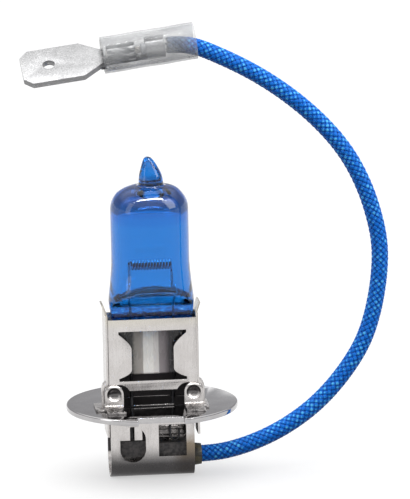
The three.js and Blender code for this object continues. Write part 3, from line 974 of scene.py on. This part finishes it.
def sleevingFinish():
    finish = Finish("oliveSleeving")
    weave = finish.noise(0.18, (0.4, 1, 1), detail=3)
    patches = finish.noise(0.9, detail=3)
    colour = finish.mix(finish.step(patches, 0.35, 0.65), (0.012, 0.011, 0.008), (0.06, 0.05, 0.022))
    return finish.done({
        "Base Color": colour,
        "Roughness": finish.step(weave, 0.3, 0.7, 0.4, 0.75),
        "Normal": finish.bump(weave, 0.6, 0.06),
    })


dress("insulator_block", ceramicFinish(), 0.12, 3)
dress("exit_bushing", sleevingFinish(), 0.08, 2)
print("insulating pieces dressed")


# the terminal, its crimps and the clear sleeve
terminalSettings = {
    "start": (-5.39, 0, 45.36),
    "faceWay": (-0.1085, -0.5, 0.8592),    # the way the blade's upper face looks
    "tilt": -7.2,
    "twist": 30.0,
    "strandCount": 7,
    "strandRadius": 0.15,
    "strands": (0.5, 4.4),  # start and length from the terminal's shoulder
    "core": (5.0, 3.1),
    "coreRadius": 0.7,
    "crimps": (0.4, 4.2),
    "sleeveLength": 12.0,
    "sleeveRadius": 2.35,
    "sleeveWall": 0.25,
    "sleeveRim": 0.07,
}


def terminalPlace(look):
    tilt = Matrix.Rotation(math.radians(look["tilt"]), 4, "Y")
    twist = Matrix.Rotation(math.radians(look["twist"]), 4, "X")
    return Matrix.Translation(Vector(look["start"])) @ tilt @ twist


def twistedStrands(line, look, pitch):
    # one straight strand with the others wound round it
    ways = directions(line)
    spacing = (line[1] - line[0]).length
    across = Vector((0, 1, 0))
    shapes = [sweep(line, look["strandRadius"], 8)]
    others = look["strandCount"] - 1
    for strand in range(others):
        wound = []
        for i, (point, way) in enumerate(zip(line, ways)):
            side = (across - way * across.dot(way)).normalized()
            turn = 2 * math.pi * (strand / others + i * spacing / pitch)
            out = side * math.cos(turn) + way.cross(side) * math.sin(turn)
            wound.append(point + out * look["strandRadius"] * 2.05)
        shapes.append(sweep(wound, look["strandRadius"], 8))
    return joinShapes(shapes)


def tinnedFinish(look):
    # satin tin, scratched and darker where the barrels were crimped
    finish = Finish("tinnedBrass")
    clouds = finish.noise(1.8, detail=4)
    sand = finish.noise(0.1, detail=3)
    scratches = finish.noise(0.1, (0.06, 1, 1), detail=2, turn=(0.5, 0.1, 0.35))
    tone = finish.step(clouds * 0.15 + sand * 0.85, 0.4, 0.6)
    colour = finish.mix(tone, (0.33, 0.33, 0.335), (0.60, 0.60, 0.605))
    colour = finish.mix(finish.step(scratches, 0.62, 0.75) * 0.35, colour, (0.8, 0.8, 0.78))
    # painted shade: the edges, told by how far their normal turns from the blade's face, are darker than the
    # flat faces
    side = finish.node("ShaderNodeNewGeometry", output="Normal")
    facing = {0: side, 1: look["faceWay"]}
    flat = finish.node("ShaderNodeVectorMath", {"operation": "DOT_PRODUCT"}, facing, output="Value")
    colour = finish.mix(finish.step(finish.size(flat), 0.45, 0.15) * 0.7, colour, (0.12, 0.12, 0.122))
    along = finish.along("X")
    first, last = [look["start"][0] + place for place in look["crimps"]]
    worked = finish.step(along, first - 1, first) * (1 - finish.step(along, last, last + 0.8))
    smears = finish.step(finish.noise(0.5, (0.35, 1, 1), detail=4), 0.36, 0.56)
    colour = finish.mix(worked * smears * 0.92, colour, (0.03, 0.03, 0.033))
    return finish.done({
        "Base Color": colour,
        "Metallic": 1.0,
        "Roughness": finish.step(clouds * 0.6 + sand * 0.4, 0.35, 0.65, 0.28, 0.4),
        "Normal": finish.bump(sand * 0.6 + scratches * 0.4 + smears * worked, 0.3, 0.025),
    })


def sleeveFinish():
    finish = Finish("clearVinyl")
    clouds = finish.noise(1.8, (0.6, 1, 1), detail=3)
    scuffs = finish.noise(0.14, (0.2, 1, 1), detail=3)
    facing = finish.node("ShaderNodeLayerWeight", {}, {"Blend": 0.35}, output="Facing")
    colour = finish.mix(finish.step(clouds, 0.3, 0.7), (0.38, 0.39, 0.4), (0.52, 0.53, 0.535))
    return finish.done({
        "Base Color": colour,
        "Roughness": finish.step(scuffs, 0.3, 0.7, 0.12, 0.3),
        "Alpha": finish.step(clouds, 0.3, 0.7, 0.18, 0.36) + facing * 0.3,
        "Normal": finish.bump(scuffs * 0.4 + clouds, 0.35, 0.08),
        "Coat Weight": 0.4,
    })


def coreFinish():
    finish = Finish("coreInsulation")
    clouds = finish.noise(0.9, detail=3)
    colour = finish.mix(clouds, (0.42, 0.43, 0.45), (0.66, 0.67, 0.69))
    return finish.done({
        "Base Color": colour,
        "Roughness": finish.step(clouds, 0.3, 0.7, 0.35, 0.5),
        "Normal": finish.bump(finish.noise(0.2, detail=2), 0.3, 0.03),
    })


def makeSleeve(look, place):
    outer, length, rim = look["sleeveRadius"], look["sleeveLength"], look["sleeveRim"]
    inner = outer - look["sleeveWall"]
    lip, steps = rim - 0.01, 30
    profile = [(inner, lip), (inner + rim, 0), (outer - rim, 0), (outer, rim)]
    profile += [(outer, length * i / steps) for i in range(1, steps)]
    profile += [(outer, length - rim), (outer - rim, length), (inner + rim, length), (inner, length - lip)]
    profile += [(inner, length * (steps - i) / steps) for i in range(1, steps)]
    profile.append((inner, lip))
    points, faces = turned(profile, 72)
    shaped = []
    for point in points:
        # slightly oval, with soft dents where the crimps were pushed in
        a = math.atan2(point.y, point.x)
        dent = 0.035 * math.sin(2 * a + 0.9) + 0.02 * math.sin(3 * a + point.z * 1.1)
        radius = Vector((point.x, point.y, 0)).length + dent
        shaped.append(place @ Vector((point.z, radius * math.cos(a), radius * math.sin(a))))
    return addPiece("terminalSleeve", shaped, faces, sleeveFinish(), ["terminal_sleeve"])


def makeTerminal(look):
    place = terminalPlace(look)
    spade = dress("spade_terminal", tinnedFinish(look), 0.1, 3)
    start, length = look["strands"]
    wires = [place @ Vector((start + length * i / 40, 0, 0)) for i in range(41)]
    points, faces = twistedStrands(wires, look, 3.2)
    nodes = ["lead_strands_terminal"]
    strands = addPiece("terminalStrands", points, faces, tinnedCopper, nodes)
    start, length = look["core"]
    core = [place @ Vector((start + length * i / 20, 0, 0)) for i in range(21)]
    radii = [look["coreRadius"] + 0.02 * math.sin(i * 1.1) for i in range(21)]
    points, faces = sweep(core, radii, 24)
    nodes = ["lead_inner_insulation"]
    insulation = addPiece("coreInsulation", points, faces, coreFinish(), nodes)
    sleeve = makeSleeve(look, place)
    return [spade, strands, insulation, sleeve]


baseStrandRoute = [
    (3.3, 0, -7.1),
    (2.8, 0, -7.1),
    (2.3, 0, -6.7),
    (2.2, 0, -5.8),
    (2.2, 0, -4.6),
    (2.2, 0, -3.4),
]


def makeBaseStrands(look):
    points, faces = twistedStrands(smoothLine(baseStrandRoute, 0.12), look, 3.0)
    addPiece("baseStrands", points, faces, tinnedCopper, ["lead_strands_base"])


terminalPieces = makeTerminal(terminalSettings)
makeBaseStrands(terminalSettings)
tuple(leadLine[0] * mm)
[tuple(point * mm) for point in leadLine]
print("terminal made")


# the floor and the lights
stageSettings = {
    "floorColour": (0.5, 0.5, 0.5),
    "floorGlow": 0.5,       # keeps the shadow round the base faint
    "floorHalf": 6.0,       # metres
    "sky": [                # how bright the sky is by the sine of its height
        (0.0, (0.09, 0.09, 0.1)),
        (0.004, (1.0, 1.0, 1.0)),
        (0.04, (1.0, 1.0, 1.0)),
        (0.1, (0.36, 0.36, 0.37)),
        (0.42, (0.36, 0.36, 0.37)),
        (0.62, (1.0, 1.0, 1.0)),
    ],
    "ambient": 1.3,
}


def makeFloor(look):
    low, half = cadBox[0].z, look["floorHalf"]
    corners = [(x * half, y * half, low) for x, y in ((-1, -1), (1, -1), (1, 1), (-1, 1))]
    mesh = bpy.data.meshes.new("floor")
    mesh.from_pydata(corners, [], [[0, 1, 2, 3]])
    finish = Finish("paleFloor")
    mesh.materials.append(finish.done({
        "Base Color": (*look["floorColour"], 1),
        "Roughness": 0.9,
        "Emission Color": (1, 1, 1, 1),
        "Emission Strength": look["floorGlow"],
    }))
    floor = bpy.data.objects.new("floor", mesh)
    bpy.context.scene.collection.objects.link(floor)
    # the floor shows in the plated sheet and the glass, but doesn't light the braid from below
    floor.visible_diffuse = False


def makeSky(look):
    sky = Finish("studioSky", "worlds")
    bpy.context.scene.world = sky.material
    spot = sky.node("ShaderNodeTexCoord", output="Generated")
    height = sky.node("ShaderNodeSeparateXYZ", {}, {"Vector": spot}, output="Z")
    colour = sky.node("ShaderNodeValToRGB", {"stops": look["sky"]}, {"Fac": height})
    light = sky.node("ShaderNodeBackground", {}, {"Color": colour, "Strength": look["ambient"]})
    sky.node("ShaderNodeOutputWorld", {}, {"Surface": light})


lightSettings = {           # place in mm, size in metres, brightness as radiance
    "topBox": {"place": (20, -60, 460), "size": (0.4, 0.4), "brightness": 0.4},
    "slimBox": {"place": (10, -118, 420), "size": (0.7, 0.022), "brightness": 22.0},
    "glassBox": {"place": (10, -100, 430), "size": (0.45, 0.07), "brightness": 30.0},
    "leftStrip": {"place": (-330, -120, 60), "size": (0.1, 0.5), "brightness": 2.0},
    "rightBox": {"place": (330, -120, 240), "size": (0.2, 0.3), "brightness": 5.0},
}
lampMiddle = Vector((6, 0, 18))


def addSoftbox(name, look, pieces):
    # pieces are the only ones that the box lights; without them it lights everything
    data = bpy.data.lights.new(name, "AREA")
    data.shape = "RECTANGLE"
    data.size, data.size_y = look["size"]
    data.energy = look["brightness"] * math.pi * data.size * data.size_y
    box = bpy.data.objects.new(name, data)
    bpy.context.scene.collection.objects.link(box)
    box.location = Vector(look["place"]) * mm
    box.rotation_mode = "QUATERNION"
    box.rotation_quaternion = ((lampMiddle - Vector(look["place"])) * mm).to_track_quat("-Z", "Y")
    box.visible_camera = False
    if pieces:
        lit = bpy.data.collections.new(f"{name}Lit")
        for piece in pieces:
            lit.objects.link(piece)
        box.light_linking.receiver_collection = lit


lampPieces = [piece for piece in bpy.context.scene.objects if piece.type == "MESH"]
lightTargets = {
    "topBox": [],
    "slimBox": lampPieces,
    "glassBox": [piece for piece in lampPieces if piece.name == "glassEnvelope"],
    "leftStrip": lampPieces,
    "rightBox": [piece for piece in lampPieces if piece.name != "reference_flange"],
}
makeFloor(stageSettings)
makeSky(stageSettings)
for name, look in lightSettings.items():
    addSoftbox(name, look, lightTargets[name])
print("stage made")
